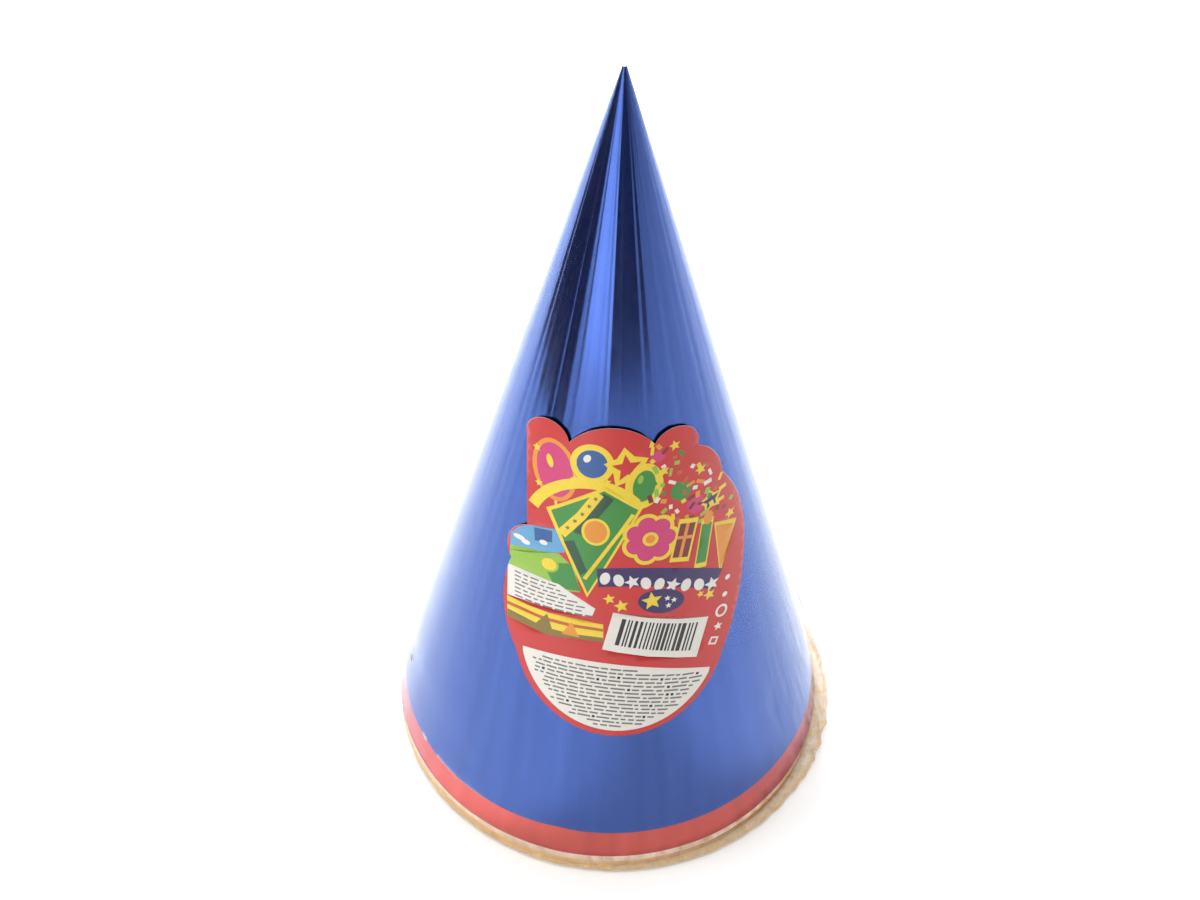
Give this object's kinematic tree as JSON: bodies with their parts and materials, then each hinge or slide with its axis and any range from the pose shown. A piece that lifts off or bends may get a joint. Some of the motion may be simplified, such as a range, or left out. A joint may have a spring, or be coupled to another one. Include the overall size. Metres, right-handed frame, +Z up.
{
  "type": "party hat pack",
  "caption": "Nested foil cone party hats in a clear film wrap with a printed front label; each hat lifts off the one inside it.",
  "frame": {"origin": "on the table, under the middle of the round foot of the pack", "axes": "+Z up to the tip of the hats, -Y out through the middle of the front label, +X to the right seen from the front"},
  "size_m": [0.155, 0.155, 0.252],
  "materials": {
    "card": "uncoated white card",
    "gold_foil": "mirror metallised film",
    "silver_foil": "mirror metallised film",
    "red_foil": "mirror metallised film",
    "blue_foil": "mirror metallised film",
    "glue": "cured adhesive",
    "clear_film": "clear glossy shrink film",
    "printed_label": "glossy printed paper"
  },
  "bodies": {
    "gold_hat": {"gold_hat_card": "card", "gold_hat_foil": "gold_foil", "gold_hat_seam_glue": "glue", "film_hem": "clear_film"},
    "silver_hat": {"silver_hat_card": "card", "silver_hat_foil": "silver_foil", "silver_hat_seam_glue": "glue"},
    "red_hat": {"red_hat_card": "card", "red_hat_foil": "red_foil", "red_hat_seam_glue": "glue"},
    "blue_hat": {"blue_hat_card": "card", "blue_hat_foil": "blue_foil", "blue_hat_seam_glue": "glue"},
    "film_wrap": {"film_cover": "clear_film", "film_seal": "clear_film", "label": "printed_label"}
  },
  "joints": [
    {"name": "silver_lift", "type": "slide", "parent": "gold_hat", "child": "silver_hat", "axis": [0, 0, 1], "range_m": [0, 0.24]},
    {"name": "red_lift", "type": "slide", "parent": "silver_hat", "child": "red_hat", "axis": [0, 0, 1], "range_m": [0, 0.24]},
    {"name": "blue_lift", "type": "slide", "parent": "red_hat", "child": "blue_hat", "axis": [0, 0, 1], "range_m": [0, 0.24]},
    {"name": "film_lift", "type": "slide", "parent": "blue_hat", "child": "film_wrap", "axis": [0, 0, 1], "range_m": [0, 0.24]}
  ]
}
